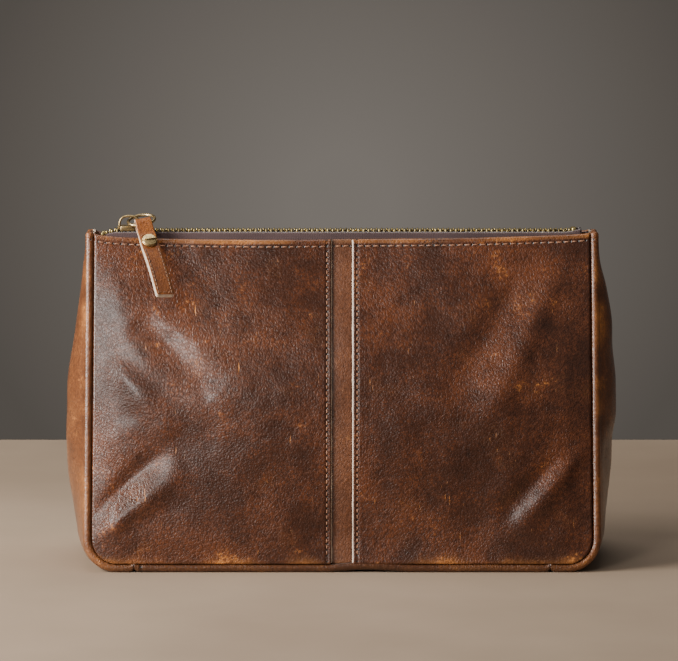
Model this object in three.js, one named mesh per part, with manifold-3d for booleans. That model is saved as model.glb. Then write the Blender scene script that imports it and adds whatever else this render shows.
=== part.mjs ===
// Leather shaving kit bag with a metal zip along its top, in millimetres.
// The front faces -Y, +X is to the viewer's right, +Z is up, and the origin is
// in the middle of the resting face. The bag stands closed, slider at its left end.
import * as THREE from 'three';
import { mergeVertices } from 'three/addons/utils/BufferGeometryUtils.js';
import Module from 'manifold-3d';

const wasm = await Module();
wasm.setup();

// Overall form
const seamHalfWidth = 120.5;   // centre line to the side seams
const height = 160;            // resting face to the leather's top edge
const baseHalfDepth = 50;      // front and back walls at the base seam
const seamRise = 4;            // base seam above the resting face
const cornerRadius = 12;       // lower corners of the front and back
const gussetLap = 8.5;         // gusset's flat run under the bag, past the corner
const wallCrown = 4;           // outward swell of the front and back
const topBulge = 3.5;          // outward swell of a gusset at its top edge
const gussetBulge = 9.5;       // further swell of a gusset at half height
const sidePower = 2;           // roundness of a gusset across its width
const basePower = 16;          // flatness of the base across its width

// Sheet materials and the gap between pieces that touch
const gap = 0.3;
const leather = 1.4;
const stripLeather = 1.0;
const tapeCloth = 0.5;
const liningCloth = 0.6;

// Centre strip of the front
const stripOpening = 9.6;      // between the raw edges of the two panels
const stripLap = 6;            // hidden behind each panel
const liningDrop = 4;          // lining's top below the leather's top edge

// Zip chain
const zipRise = -0.2;          // middle of the tape above the leather's top edge
const toothPitch = 2.5;
const toothLength = 1.2;       // along the chain
const toothThickness = 2.6;
const toothTip = 0.5;          // from the chain's middle plane
const beadInner = 2.3;
const beadOuter = 3.2;
const chainSetback = 5.5;      // side seam to the chain's first tooth
const tapeSetback = 4;         // side seam to the tape's end
const tapeLeg = 8;             // tape sewn down behind the leather

// Slider, bail, ring and tab
const sliderSetback = 11.5;    // chain's first tooth to the slider's middle
const sliderLength = 11;
const plateThickness = 1.2;    // lower plate
const plateSkin = 0.5;         // upper plate where it is thinnest
const flange = 0.6;
const running = 0.35;          // slider to teeth
const sliderPlay = 0.9;        // slider to the tape's sewn leg
const bailLength = 10.8;
const bailThickness = 1.3;
const bailWidth = 1.8;
const bailBehindWire = 1.9;    // ring's hinge point to the bail's middle plane
const bailHole = 4.6;          // clear height under the bail
const ringRadius = 6.5;        // to the middle of the wire
const wireRadius = 0.75;
const ringTilt = 17;           // degrees, far side of the ring up
const tabLean = 45;            // degrees from vertical, out over the front
const tabRoll = 14.8;          // degrees to the right
const tabLength = 46;
const tabWidth = 8.6;
const tabLeather = 1.1;        // each of the two layers
const loopPlay = 0.2;          // fold to wire
const foldClear = 2.1;        // fold to the slider's front corner
const foldRise = 0.96;         // fold's middle above the slider's upper plate
const wireAhead = 0.4;         // ring's hinge point to the left of the slider's middle

// Two-part screw through the tab
const screwDrop = 12;          // from the fold's middle
const screwHeadRadius = 3.8;
const screwHeadThickness = 1.5;
const backHeadThickness = 1;
const barrelRadius = 1.8;
const barrelWall = 0.6;
const slotWidth = 0.7;
const slotDepth = 0.6;

const zipHeight = height + zipRise;
const tapeInset = leather + stripLeather + 2 * gap;
const liningInset = tapeInset + tapeCloth + gap;
const sliderHalfWidth = beadOuter + gap + flange;
const topHalfDepth = sliderHalfWidth + sliderPlay + tapeCloth + tapeInset;
const chainLeft = chainSetback - seamHalfWidth;
const toothCount = Math.floor((-2 * chainLeft - toothLength) / toothPitch);
const sliderMiddle = chainLeft + sliderSetback;
const FRONT = -1;
const BACK = 1;

const finishes = {
  leather: { color: 0x6b3420, roughness: 0.45, metalness: 0 },
  stripLeather: { color: 0x5a3a22, roughness: 0.6, metalness: 0 },
  tape: { color: 0x2c1d1f, roughness: 0.9, metalness: 0 },
  lining: { color: 0x8a7a62, roughness: 0.9, metalness: 0 },
  brass: { color: 0x9a7b3c, roughness: 0.35, metalness: 1 },
  tabLeather: { color: 0x8a4a22, roughness: 0.5, metalness: 0 },
};

const bag = new THREE.Group();

function piece(name, geometry, finish) {
  const mesh = new THREE.Mesh(geometry, new THREE.MeshStandardMaterial(finishes[finish]));
  mesh.name = name;
  bag.add(mesh);
  return mesh;
}

// ---- closed sheets from an outer and an inner grid of points ----

// Volume of a closed triangle mesh; negative when its faces point inwards.
function signedVolume(points, faces) {
  let sum = 0;
  for (const [a, b, c] of faces) {
    sum += points[a].dot(new THREE.Vector3().crossVectors(points[b], points[c]));
  }
  return sum / 6;
}

// Outer and inner are rows of points with the same layout; the rim joins them.
function sheet(outer, inner) {
  const rows = outer.length;
  const columns = outer[0].length;
  const points = [...outer.flat(), ...inner.flat()];
  const out = (row, column) => row * columns + column;
  const inn = (row, column) => rows * columns + out(row, column);
  const faces = [];
  const quad = (a, b, c, d) => faces.push([a, b, c], [a, c, d]);
  for (let r = 0; r < rows - 1; r++) {
    for (let c = 0; c < columns - 1; c++) {
      quad(out(r, c), out(r, c + 1), out(r + 1, c + 1), out(r + 1, c));
      quad(inn(r, c), inn(r + 1, c), inn(r + 1, c + 1), inn(r, c + 1));
    }
  }
  for (let r = 0; r < rows - 1; r++) {
    quad(out(r, 0), out(r + 1, 0), inn(r + 1, 0), inn(r, 0));
    quad(out(r + 1, columns - 1), out(r, columns - 1), inn(r, columns - 1), inn(r + 1, columns - 1));
  }
  for (let c = 0; c < columns - 1; c++) {
    quad(out(0, c + 1), out(0, c), inn(0, c), inn(0, c + 1));
    quad(out(rows - 1, c), out(rows - 1, c + 1), inn(rows - 1, c + 1), inn(rows - 1, c));
  }
  if (signedVolume(points, faces) < 0) faces.forEach((face) => face.reverse());
  const geometry = new THREE.BufferGeometry().setFromPoints(points);
  geometry.setIndex(faces.flat());
  return geometry;
}

// ---- front and back walls ----

const lerp = THREE.MathUtils.lerp;
const cornerTop = seamRise + cornerRadius;
const riseAt = (z) => (z - seamRise) / (height - seamRise);
const halfDepthAt = (z) => lerp(baseHalfDepth, topHalfDepth, riseAt(z));

function wallPoint(side, x, z, inset) {
  const across = 1 - (x / seamHalfWidth) ** 2;
  const crown = wallCrown * across * Math.sin(Math.PI * riseAt(z)) ** 2;
  return new THREE.Vector3(x, side * (halfDepthAt(z) + crown - inset), z);
}

// Half width of a wall at a height, following the rounded lower corner.
function wallReach(z, inset) {
  const drop = Math.max(0, cornerTop - z);
  const radius = cornerRadius - inset;
  return seamHalfWidth - cornerRadius + Math.sqrt(Math.max(0, radius ** 2 - drop ** 2));
}

function wallHeights(inset, top) {
  const cornerSteps = 4;
  const sideSteps = 9;
  const low = seamRise + inset + gap;
  const heights = [];
  for (let i = 0; i < cornerSteps; i++) {
    const turn = (i / cornerSteps) * (Math.PI / 2);
    heights.push(cornerTop - (cornerTop - low) * Math.cos(turn));
  }
  for (let i = 0; i <= sideSteps; i++) heights.push(lerp(cornerTop, top, i / sideSteps));
  return heights;
}

function wall({ side, inset, thickness, top = height, from, to, steps }) {
  const grid = (depth) => wallHeights(inset, top).map((z) => {
    const row = [];
    for (let i = 0; i <= steps; i++) {
      row.push(wallPoint(side, lerp(from(z), to(z), i / steps), z, depth));
    }
    return row;
  });
  return sheet(grid(inset), grid(inset + thickness));
}

const reach = (inset) => (z) => wallReach(z, inset);
const minus = (edge) => (z) => -edge(z);
const upTo = (x) => () => x;

piece('front_left_panel', wall({
  side: FRONT, inset: 0, thickness: leather,
  from: minus(reach(0)), to: upTo(-stripOpening / 2), steps: 7,
}), 'leather');
piece('front_right_panel', wall({
  side: FRONT, inset: 0, thickness: leather,
  from: upTo(stripOpening / 2), to: reach(0), steps: 7,
}), 'leather');
piece('front_centre_strip', wall({
  side: FRONT, inset: leather + gap, thickness: stripLeather,
  from: upTo(-stripOpening / 2 - stripLap), to: upTo(stripOpening / 2 + stripLap), steps: 2,
}), 'stripLeather');
piece('back_panel', wall({
  side: BACK, inset: 0, thickness: leather, from: minus(reach(0)), to: reach(0), steps: 14,
}), 'leather');
for (const [name, side] of [['lining_front', FRONT], ['lining_back', BACK]]) {
  piece(name, wall({
    side, inset: liningInset, thickness: liningCloth, top: height - liningDrop,
    from: minus(reach(liningInset)), to: reach(liningInset), steps: 14,
  }), 'lining');
}

// ---- gussets and base: one band from top edge to top edge, cut in three ----

// Stations run down the side, round the corner and in along the base. Each holds the
// seam's place, the outward direction there, and the swell and roundness of the band.
function bandStations(inset, top, end) {
  const sideSteps = 8;
  const cornerSteps = 5;
  const stations = [];
  for (let i = 0; i < sideSteps; i++) {
    const z = lerp(top, cornerTop, i / sideSteps);
    const swell = topBulge + gussetBulge * Math.sin((Math.PI * z) / height);
    stations.push({ x: seamHalfWidth - inset, z, out: [1, 0], swell, power: sidePower });
  }
  const startSwell = topBulge + gussetBulge * Math.sin((Math.PI * cornerTop) / height);
  for (let i = 0; i <= cornerSteps; i++) {
    const share = i / cornerSteps;
    const out = [Math.cos((share * Math.PI) / 2), -Math.sin((share * Math.PI) / 2)];
    stations.push({
      x: seamHalfWidth - cornerRadius + (cornerRadius - inset) * out[0],
      z: cornerTop + (cornerRadius - inset) * out[1],
      out,
      swell: lerp(startSwell, seamRise, share),
      power: lerp(sidePower, basePower, share),
    });
  }
  stations.push(baseStation(inset, end));
  return stations;
}

function baseStation(inset, x) {
  return { x, z: seamRise + inset, out: [0, -1], swell: seamRise, power: basePower };
}

function bandRows(stations, sideInset, side) {
  const steps = 10;
  return stations.map(({ x, z, out, swell, power }) => {
    const halfWidth = halfDepthAt(z) - sideInset;
    const row = [];
    for (let i = 0; i <= steps; i++) {
      const across = Math.sin((i / steps - 0.5) * Math.PI);
      const push = swell * (1 - Math.abs(across) ** power);
      row.push(new THREE.Vector3(side * (x + push * out[0]), across * halfWidth, z + push * out[1]));
    }
    return row;
  });
}

const joint = seamHalfWidth - cornerRadius - gussetLap;
const bandLayers = [
  { prefix: '', base: 'base_panel', inset: 0, thickness: leather, top: height, finish: 'leather' },
  {
    prefix: 'lining_', base: 'lining_base', inset: liningInset, thickness: liningCloth,
    top: height - liningDrop, finish: 'lining',
  },
];
for (const { prefix, base, inset, thickness, top, finish } of bandLayers) {
  const cover = inset + thickness + gap;   // the front or back piece covers the band's edge
  const band = (stationsAt, side) => sheet(
    bandRows(stationsAt(inset), cover, side),
    bandRows(stationsAt(inset + thickness), cover + thickness, side));
  for (const [name, side] of [['left_gusset', -1], ['right_gusset', 1]]) {
    piece(prefix + name, band((depth) => bandStations(depth, top, joint + gap / 2), side), finish);
  }
  const ends = [gap / 2 - joint, joint - gap / 2];
  piece(base, band((depth) => ends.map((x) => baseStation(depth, x)), 1), finish);
}

// ---- zip tapes, tooth rows and stops ----

// A section in the YZ plane, carried along X.
function alongX(section, from, to) {
  const shape = new THREE.Shape(section.map(([y, z]) => new THREE.Vector2(y, z)));
  const geometry = new THREE.ExtrudeGeometry(shape, { depth: to - from, bevelEnabled: false });
  geometry.applyMatrix4(new THREE.Matrix4().makeBasis(
    new THREE.Vector3(0, 1, 0), new THREE.Vector3(0, 0, 1), new THREE.Vector3(1, 0, 0)));
  return geometry.translate(from, 0, 0);
}

const tapeEdge = beadOuter + gap;

function tapeSection(side) {
  const upper = zipHeight + tapeCloth / 2;
  const lower = zipHeight - tapeCloth / 2;
  const foot = height - tapeLeg;
  return [
    [halfDepthAt(foot) - tapeInset, foot],
    [halfDepthAt(upper) - tapeInset, upper],
    [tapeEdge, upper],
    [tapeEdge, lower],
    [halfDepthAt(lower) - tapeInset - tapeCloth, lower],
    [halfDepthAt(foot) - tapeInset - tapeCloth, foot],
  ].map(([y, z]) => [side * y, z]);
}

// A straight bead with a tooth at every pitch, seen from above.
function toothRow(side) {
  const outline = new THREE.Shape();
  const end = chainLeft + (toothCount - 1) * toothPitch + toothLength;
  outline.moveTo(chainLeft, side * beadOuter);
  for (let i = 0; i < toothCount; i++) {
    const x = chainLeft + i * toothPitch;
    if (i > 0) outline.lineTo(x, side * beadInner);
    outline.lineTo(x, side * toothTip);
    outline.lineTo(x + toothLength, side * toothTip);
    if (i < toothCount - 1) outline.lineTo(x + toothLength, side * beadInner);
  }
  outline.lineTo(end, side * beadOuter);
  const row = new THREE.ExtrudeGeometry(outline, { depth: toothThickness, bevelEnabled: false });
  return row.translate(0, 0, zipHeight - toothThickness / 2);
}

const stopLength = 2;
const stopThickness = 2.4;
const jawReach = 1;
const chainRight = chainLeft + (toothCount - 1) * toothPitch + toothLength;

// Jaws closed over the tape's edge, on a solid block that reaches to blockEdge.
function stopSection(side, blockEdge) {
  const half = stopThickness / 2;
  const slot = tapeCloth / 2 + gap;
  const jaw = tapeEdge + jawReach;
  return [
    [blockEdge, half], [side * jaw, half], [side * jaw, slot], [side * beadOuter, slot],
    [side * beadOuter, -slot], [side * jaw, -slot], [side * jaw, -half], [blockEdge, -half],
  ].map(([y, z]) => [y, z + zipHeight]);
}

for (const [word, side] of [['front', FRONT], ['back', BACK]]) {
  const tapeEnd = seamHalfWidth - tapeSetback;
  piece(`${word}_zip_tape`, alongX(tapeSection(side), -tapeEnd, tapeEnd), 'tape');
  piece(`${word}_tooth_row`, toothRow(side), 'brass');
  piece(`${word}_top_stop`, alongX(
    stopSection(side, side * 2 * toothTip), chainLeft - gap - stopLength, chainLeft - gap), 'brass');
}
piece('bottom_stop', alongX(
  stopSection(FRONT, beadOuter), chainRight + gap, chainRight + gap + stopLength), 'brass');

// ---- slider ----

// The front row runs in a closed channel. The channel of the back row is open
// behind and rises, so that the row can leave it as the back wall tilts away.
const roof = toothThickness / 2 + running;
const web = toothTip - gap;
const backEdge = beadOuter + gap + 0.1;
const leavingSlope = (baseHalfDepth / (zipHeight - seamRise)) * 1.06;
const leavingRise = leavingSlope * (backEdge - web);
const plateTop = zipHeight + roof + leavingRise + plateSkin;

function sliderSection() {
  const floor = -roof;
  const slot = tapeCloth / 2 + gap;
  const plate = plateTop - zipHeight;
  const lip = sliderHalfWidth - flange;
  return [
    [backEdge, plate], [-sliderHalfWidth, plate], [-sliderHalfWidth, slot], [-lip, slot],
    [-lip, roof], [-web, roof], [-web, floor], [-lip, floor], [-lip, -slot],
    [-sliderHalfWidth, -slot], [-sliderHalfWidth, floor - plateThickness],
    [backEdge, floor - plateThickness], [backEdge, floor], [web, floor], [web, roof],
    [backEdge, roof + leavingRise],
  ].map(([y, z]) => [y, z + zipHeight]);
}

piece('slider_body', alongX(
  sliderSection(), sliderMiddle - sliderLength / 2, sliderMiddle + sliderLength / 2), 'brass');

// ---- bail, pull ring, leather tab and its screw ----

const radians = THREE.MathUtils.degToRad;
const roll = radians(tabRoll);
const lean = radians(tabLean);
const tabDown = new THREE.Vector3(
  Math.sin(roll), -Math.cos(roll) * Math.sin(lean), -Math.cos(roll) * Math.cos(lean));
const tabAcross = new THREE.Vector3(
  Math.cos(roll), Math.sin(roll) * Math.sin(lean), Math.sin(roll) * Math.cos(lean));
const tabOut = new THREE.Vector3().crossVectors(tabAcross, tabDown).negate();
const ringBack = new THREE.Vector3(0, Math.cos(radians(ringTilt)), Math.sin(radians(ringTilt)));
ringBack.addScaledVector(tabAcross, -ringBack.dot(tabAcross)).normalize();

// The wire bows across the fold and crosses its sides at a slant, so the fold's middle lies
// behind the wire's and its bore is wider. The fold stands clear of the slider's corner.
const wireChord = Math.sqrt(ringRadius ** 2 - (tabWidth / 2) ** 2);
const loopSeat = (ringRadius - wireChord) / 2;
const loopBore = loopSeat + (wireRadius * ringRadius) / wireChord + loopPlay;
const foldReach = Math.sqrt((loopBore + tabLeather + foldClear) ** 2 - foldRise ** 2);
const hingeToFold = new THREE.Vector3().subVectors(tabAcross, ringBack).multiplyScalar(ringRadius)
  .addScaledVector(ringBack, loopSeat);
const loopMiddle = new THREE.Vector3(
  sliderMiddle - wireAhead + hingeToFold.x, -sliderHalfWidth - foldReach, plateTop + foldRise);
const ringHinge = loopMiddle.clone().sub(hingeToFold);
const ringMiddle = ringHinge.clone().addScaledVector(tabAcross, ringRadius);

// An arch in the XZ plane with a round-ended opening under it.
function bailArch() {
  const half = bailLength / 2;
  const inner = half - bailThickness;
  const crownRise = 3.2;
  const side = bailHole - crownRise;
  const arch = new THREE.Shape();
  arch.moveTo(-half, 0);
  arch.lineTo(-half, side);
  arch.ellipse(half, 0, half, crownRise + bailThickness, Math.PI, 0, true);
  arch.lineTo(half, 0);
  arch.lineTo(inner, 0);
  arch.lineTo(inner, side);
  arch.ellipse(-inner, 0, inner, crownRise, 0, Math.PI, false);
  arch.lineTo(-inner, 0);
  const geometry = new THREE.ExtrudeGeometry(
    arch, { depth: bailWidth, bevelEnabled: false, curveSegments: 8 });
  geometry.rotateX(Math.PI / 2);
  return geometry.translate(
    sliderMiddle, ringHinge.y + bailBehindWire + bailWidth / 2, plateTop + gap);
}
piece('slider_bail', bailArch(), 'brass');

const ring = new THREE.TorusGeometry(ringRadius, wireRadius, 8, 32);
ring.applyMatrix4(new THREE.Matrix4().makeBasis(
  tabAcross, ringBack, new THREE.Vector3().crossVectors(tabAcross, ringBack)));
piece('pull_ring', ring.translate(...ringMiddle.toArray()), 'brass');

// Tab space: x along the tab from the fold's middle, y out of its face, z across it.
const tabSpace = new THREE.Matrix4().makeBasis(
  tabDown, tabOut, new THREE.Vector3().crossVectors(tabDown, tabOut)).setPosition(loopMiddle);

function solid(geometry) {
  const bare = geometry.index ? geometry.toNonIndexed() : geometry.clone();
  bare.deleteAttribute('normal');
  bare.deleteAttribute('uv');
  const merged = mergeVertices(bare, 1e-4);
  return new wasm.Manifold(new wasm.Mesh({
    numProp: 3,
    vertProperties: new Float32Array(merged.attributes.position.array),
    triVerts: new Uint32Array(merged.index.array),
  }));
}

function geometryOf(manifold) {
  const { vertProperties, triVerts } = manifold.getMesh();
  const geometry = new THREE.BufferGeometry();
  geometry.setAttribute('position', new THREE.BufferAttribute(vertProperties, 3));
  geometry.setIndex(new THREE.BufferAttribute(triVerts, 1));
  return geometry;
}

// A round bar along y between two distances from the tab's middle plane.
function bar(radius, from, to) {
  const geometry = new THREE.CylinderGeometry(radius, radius, to - from, 20);
  return geometry.translate(screwDrop, (from + to) / 2, 0);
}

// The strip is folded over the ring's wire and sewn to itself below the open fold.
function tabStrip() {
  const outer = loopBore + tabLeather;
  const turn = 0.5;             // radians past the fold's sides where it runs into the flat
  const profile = new THREE.Shape();
  const neck = outer * 2.4;
  profile.moveTo(tabLength, -tabLeather);
  profile.lineTo(tabLength, tabLeather);
  profile.lineTo(neck, tabLeather);
  profile.lineTo(outer * Math.cos(Math.PI / 2 - turn), outer * Math.sin(Math.PI / 2 - turn));
  profile.absarc(0, 0, outer, Math.PI / 2 - turn, -Math.PI / 2 + turn, false);
  profile.lineTo(neck, -tabLeather);
  const bore = new THREE.Path();
  bore.absarc(0, 0, loopBore, 0, 2 * Math.PI, false);
  profile.holes.push(bore);
  const strip = new THREE.ExtrudeGeometry(
    profile, { depth: tabWidth, bevelEnabled: false, curveSegments: 12 });
  return strip.translate(0, 0, -tabWidth / 2);
}

const tabFace = tabLeather + gap;
const screwHead = bar(screwHeadRadius, tabFace, tabFace + screwHeadThickness);
const slot = new THREE.BoxGeometry(2 * slotDepth, 2 * slotDepth, 3 * screwHeadRadius);
slot.scale(slotWidth / (2 * slotDepth), 1, 1);
slot.rotateY(radians(4)).translate(screwDrop, tabFace + screwHeadThickness, 0);
const barrelBore = barrelRadius - barrelWall;
const backFace = -tabFace - backHeadThickness;
const screwParts = {
  pull_tab: [solid(tabStrip()).subtract(
    solid(bar(barrelRadius + gap, -2 * tabLeather, 2 * tabLeather))), 'tabLeather'],
  screw_head: [solid(screwHead).subtract(solid(slot)).add(
    solid(bar(barrelBore - gap, -tabLeather, tabFace + gap))), 'brass'],
  screw_post: [solid(bar(screwHeadRadius, backFace, -tabFace)).add(
    solid(bar(barrelRadius, -tabFace - gap, tabLeather))).subtract(
    solid(bar(barrelBore, -tabFace, 2 * tabLeather))), 'brass'],
};
for (const [name, [shape, finish]] of Object.entries(screwParts)) {
  piece(name, geometryOf(shape), finish).applyMatrix4(tabSpace);
}

export default bag;
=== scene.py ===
import math

import bpy
import numpy as np
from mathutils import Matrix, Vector


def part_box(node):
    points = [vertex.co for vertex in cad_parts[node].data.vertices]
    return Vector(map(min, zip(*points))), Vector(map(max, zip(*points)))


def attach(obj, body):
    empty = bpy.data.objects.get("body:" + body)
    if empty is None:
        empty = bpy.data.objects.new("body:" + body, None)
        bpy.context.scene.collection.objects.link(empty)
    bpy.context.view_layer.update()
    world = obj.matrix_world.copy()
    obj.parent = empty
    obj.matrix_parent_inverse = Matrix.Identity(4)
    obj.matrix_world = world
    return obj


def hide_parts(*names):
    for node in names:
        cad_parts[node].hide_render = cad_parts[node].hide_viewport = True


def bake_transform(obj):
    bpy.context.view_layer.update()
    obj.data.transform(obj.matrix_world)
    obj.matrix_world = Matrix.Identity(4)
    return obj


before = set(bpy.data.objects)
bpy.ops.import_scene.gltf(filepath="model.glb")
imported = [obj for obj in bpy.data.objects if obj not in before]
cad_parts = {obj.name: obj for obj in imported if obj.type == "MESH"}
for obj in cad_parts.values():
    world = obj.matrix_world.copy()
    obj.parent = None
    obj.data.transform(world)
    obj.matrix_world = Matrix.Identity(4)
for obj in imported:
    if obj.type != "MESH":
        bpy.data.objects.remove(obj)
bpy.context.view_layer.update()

# ---------------- studio
# A plain floor and a dim wall with a painted glow, lighter in the middle. Two soft lights
# stand to the left, a weak one to the right and one above. The camera looks slightly down at the bag's
# front.
MM = 0.001

frame_width = 331.5 * MM  # what the camera sees across, at the zip
camera_distance = 2.0
camera_height_angle = math.radians(7)
aim = Vector((-1.5 * MM, 0, 111 * MM))
sensor = 36.0

camera = bpy.data.objects.new("camera", bpy.data.cameras.new("camera"))
camera.data.sensor_width = sensor
camera.data.lens = sensor * camera_distance / frame_width
toward = Vector((0, -math.cos(camera_height_angle), math.sin(camera_height_angle)))
camera.location = aim + toward * camera_distance
camera.rotation_euler = toward.to_track_quat("Z", "Y").to_euler()
bpy.context.scene.collection.objects.link(camera)
bpy.context.scene.camera = camera


def soft_light(name, place, size, power, colour):
    """A square area light of the given side that faces the middle of the bag."""
    lamp = bpy.data.lights.new(name, "AREA")
    lamp.size, lamp.energy, lamp.color = size, power, colour
    holder = bpy.data.objects.new(name, lamp)
    holder.location = place
    facing = Vector(place) - Vector((0, 0, 0.08))
    holder.rotation_euler = facing.to_track_quat("Z", "Y").to_euler()
    bpy.context.scene.collection.objects.link(holder)


soft_light("key_light", (-0.82, -0.34, 0.48), 0.50, 25, (1.0, 0.96, 0.91))
soft_light("side_light", (-0.74, -1.65, 0.85), 0.36, 11, (1.0, 0.97, 0.93))
soft_light("fill_light", (1.0, -1.4, 1.1), 1.0, 0.8, (1.0, 0.97, 0.94))
soft_light("top_light", (-0.1, 0.25, 1.5), 0.9, 9, (1.0, 0.98, 0.95))


class Socket:
    """One output of a shader node. Python's operators on it add Math nodes."""

    def __init__(self, tree, output):
        self.tree, self.output = tree, output

    def math(self, operation, first, second):
        return add_node(self.tree, "ShaderNodeMath", {"operation": operation}, {0: first, 1: second})

    def __add__(self, other):
        return self.math("ADD", self, other)

    def __sub__(self, other):
        return self.math("SUBTRACT", self, other)

    def __rsub__(self, other):
        return self.math("SUBTRACT", other, self)

    def __mul__(self, other):
        return self.math("MULTIPLY", self, other)

    def __truediv__(self, other):
        return self.math("DIVIDE", self, other)

    __radd__ = __add__
    __rmul__ = __mul__


def add_node(tree, kind, settings, sockets, output=0):
    """Adds a node, sets it, fills its sockets with values or links, and returns one output."""
    node = tree.nodes.new(kind)
    for key, value in settings.items():
        if key == "stops":
            ramp = node.color_ramp.elements
            while len(ramp) < len(value):
                ramp.new(0.5)
            for stop, (place, colour) in zip(ramp, value):
                stop.position, stop.color = place, (*colour, 1)
        else:
            setattr(node, key, value)
    for key, value in sockets.items():
        if isinstance(value, Socket):
            tree.links.new(value.output, node.inputs[key])
        else:
            node.inputs[key].default_value = value
    return Socket(tree, node.outputs[output])


def finish_of(name, constants):
    """A new material with its Principled shader's constant sockets set; returns both and the tree."""
    material = bpy.data.materials.new(name)
    material.use_nodes = True
    shader = material.node_tree.nodes["Principled BSDF"]
    for key, value in constants.items():
        shader.inputs[key].default_value = value
    return material, shader, material.node_tree


def feed(shader, **sockets):
    """Links sockets named with underscores, such as Base_Color, to the shader."""
    for key, value in sockets.items():
        value.tree.links.new(value.output, shader.inputs[key.replace("_", " ")])


def noise(vector, scale, detail=4.0, roughness=0.55, output=0):
    return add_node(vector.tree, "ShaderNodeTexNoise", {}, {
        "Vector": vector, "Scale": scale, "Detail": detail, "Roughness": roughness}, output)


def ramp(value, stops):
    return add_node(value.tree, "ShaderNodeValToRGB", {"stops": stops}, {"Fac": value})


def step(value, low, high):
    """0 below low, 1 above high, and a smooth rise between them."""
    return add_node(value.tree, "ShaderNodeMapRange", {"interpolation_type": "SMOOTHSTEP"}, {
        "Value": value, "From Min": low, "From Max": high})


def blend_colours(factor, first, second):
    return add_node(factor.tree, "ShaderNodeMix", {"data_type": "RGBA"}, {
        0: factor, 6: first, 7: second}, 2)


def bump(height, strength, distance):
    return add_node(height.tree, "ShaderNodeBump", {}, {
        "Height": height, "Strength": strength, "Distance": distance})


def place_on_piece(tree):
    return add_node(tree, "ShaderNodeTexCoord", {}, {}, 3)


def floor_paint():
    material, shader, tree = finish_of("floor_paint", {"Roughness": 0.6})
    patch = noise(place_on_piece(tree), 6.0)
    feed(shader, Base_Color=ramp(patch, [
        (0.35, (0.25, 0.185, 0.130)), (0.65, (0.30, 0.225, 0.160))]))
    return material


def mesh_object(name, points, faces, material):
    """A new object at the origin from points and faces, smooth shaded."""
    mesh = bpy.data.meshes.new(name)
    mesh.from_pydata(np.asarray(points).reshape(-1, 3).tolist(), [], faces)
    mesh.polygons.foreach_set("use_smooth", [True] * len(mesh.polygons))
    mesh.materials.append(material)
    piece = bpy.data.objects.new(name, mesh)
    bpy.context.scene.collection.objects.link(piece)
    return piece


def backdrop_painted_glow():
    """A dim grey wall that glows by itself: a painted glow, lighter in the middle."""
    material, shader, tree = finish_of("backdrop_painted_glow", {"Roughness": 0.9, "Emission Strength": 0.85})
    centred = add_node(tree, "ShaderNodeMapping", {}, {
        "Vector": place_on_piece(tree), "Location": (0, -1.25, 0.1), "Scale": (1.9, 0.5, 1.9)})
    # Painted glow: emission in a spherical gradient, lighter in the middle.
    glow = add_node(tree, "ShaderNodeTexGradient", {"gradient_type": "SPHERICAL"}, {"Vector": centred})
    colour = ramp(glow, [(0.2, (0.070, 0.062, 0.054)), (0.9, (0.150, 0.136, 0.122))])
    feed(shader, Base_Color=colour, Emission_Color=colour)
    return material


table_half, table_back, wall_y, wall_half = 3.0, 0.38, 2.5, 4.0
corners = [(-table_half, -table_half, 0), (table_half, -table_half, 0),
           (table_half, table_back, 0), (-table_half, table_back, 0)]
floor = mesh_object("table", corners, [(0, 1, 2, 3)], floor_paint())
corners = [(-wall_half, wall_y, -wall_half), (wall_half, wall_y, -wall_half),
           (wall_half, wall_y, wall_half), (-wall_half, wall_y, wall_half)]
backdrop = mesh_object("backdrop", corners, [(0, 1, 2, 3)], backdrop_painted_glow())

world = bpy.data.worlds.new("surround")
bpy.context.scene.world = world
world.use_nodes = True
world.node_tree.nodes["Background"].inputs["Color"].default_value = (0.60, 0.57, 0.54, 1)
world.node_tree.nodes["Background"].inputs["Strength"].default_value = 0.16

# ---------------- front panels
# Two pieces of glazed pull-up leather. Each has a turned hem at the top, a seam
# at the side and bottom, and a raw inner edge lapped over the centre strip.
left_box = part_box("front_left_panel")
seam_x = -left_box[0][0]  # centre line to the side seams
strip_half = -left_box[1][0]  # centre line to the raw edges
height = left_box[1][2]
seam_z = 4 * MM  # base seam above the floor
base_depth = 50 * MM
top_depth = 8.5 * MM
corner_radius = 12 * MM
leather_thickness = 1.4 * MM
seam_turn = 1.0 * MM  # radius of an edge turned into a seam
hem_radius = 1.55 * MM


def unit(value):
    """The value held between 0 and 1."""
    return np.clip(value, 0, 1)


def lattice_noise(x, y, size, seed):
    """Smooth noise from -1 to 1: random values on a lattice of the given size in metres,
    joined by a smoothstep along each axis."""
    table = np.random.default_rng(seed).uniform(-1, 1, (64, 64))
    column, row = np.asarray(x) / size, np.asarray(y) / size
    i, j = np.floor(column).astype(int), np.floor(row).astype(int)
    s, t = column - i, row - j
    s, t = s * s * (3 - 2 * s), t * t * (3 - 2 * t)
    value = lambda a, b: table[(i + a) % 64, (j + b) % 64]
    near = value(0, 0) * (1 - s) + value(1, 0) * s
    far = value(0, 1) * (1 - s) + value(1, 1) * s
    return near * (1 - t) + far * t


def crease(x, z, start, end, width, depth):
    """A fold along a straight line from start to end: a Gaussian across it, which widens on
    the way, and a half sine along it."""
    (ax, az), (bx, bz) = start, end
    length = math.hypot(bx - ax, bz - az)
    along = ((x - ax) * (bx - ax) + (z - az) * (bz - az)) / length**2
    across = ((x - ax) * (bz - az) - (z - az) * (bx - ax)) / length
    window = np.sin(np.pi * unit(along)) ** 0.7
    return depth * window * np.exp(-((across / (width * (0.55 + 0.6 * unit(along)))) ** 2))


def wall_depth(z):
    """Distance of the front and back walls from the middle plane: linear from base to top."""
    return base_depth + (top_depth - base_depth) * (z - seam_z) / (height - seam_z)


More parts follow.
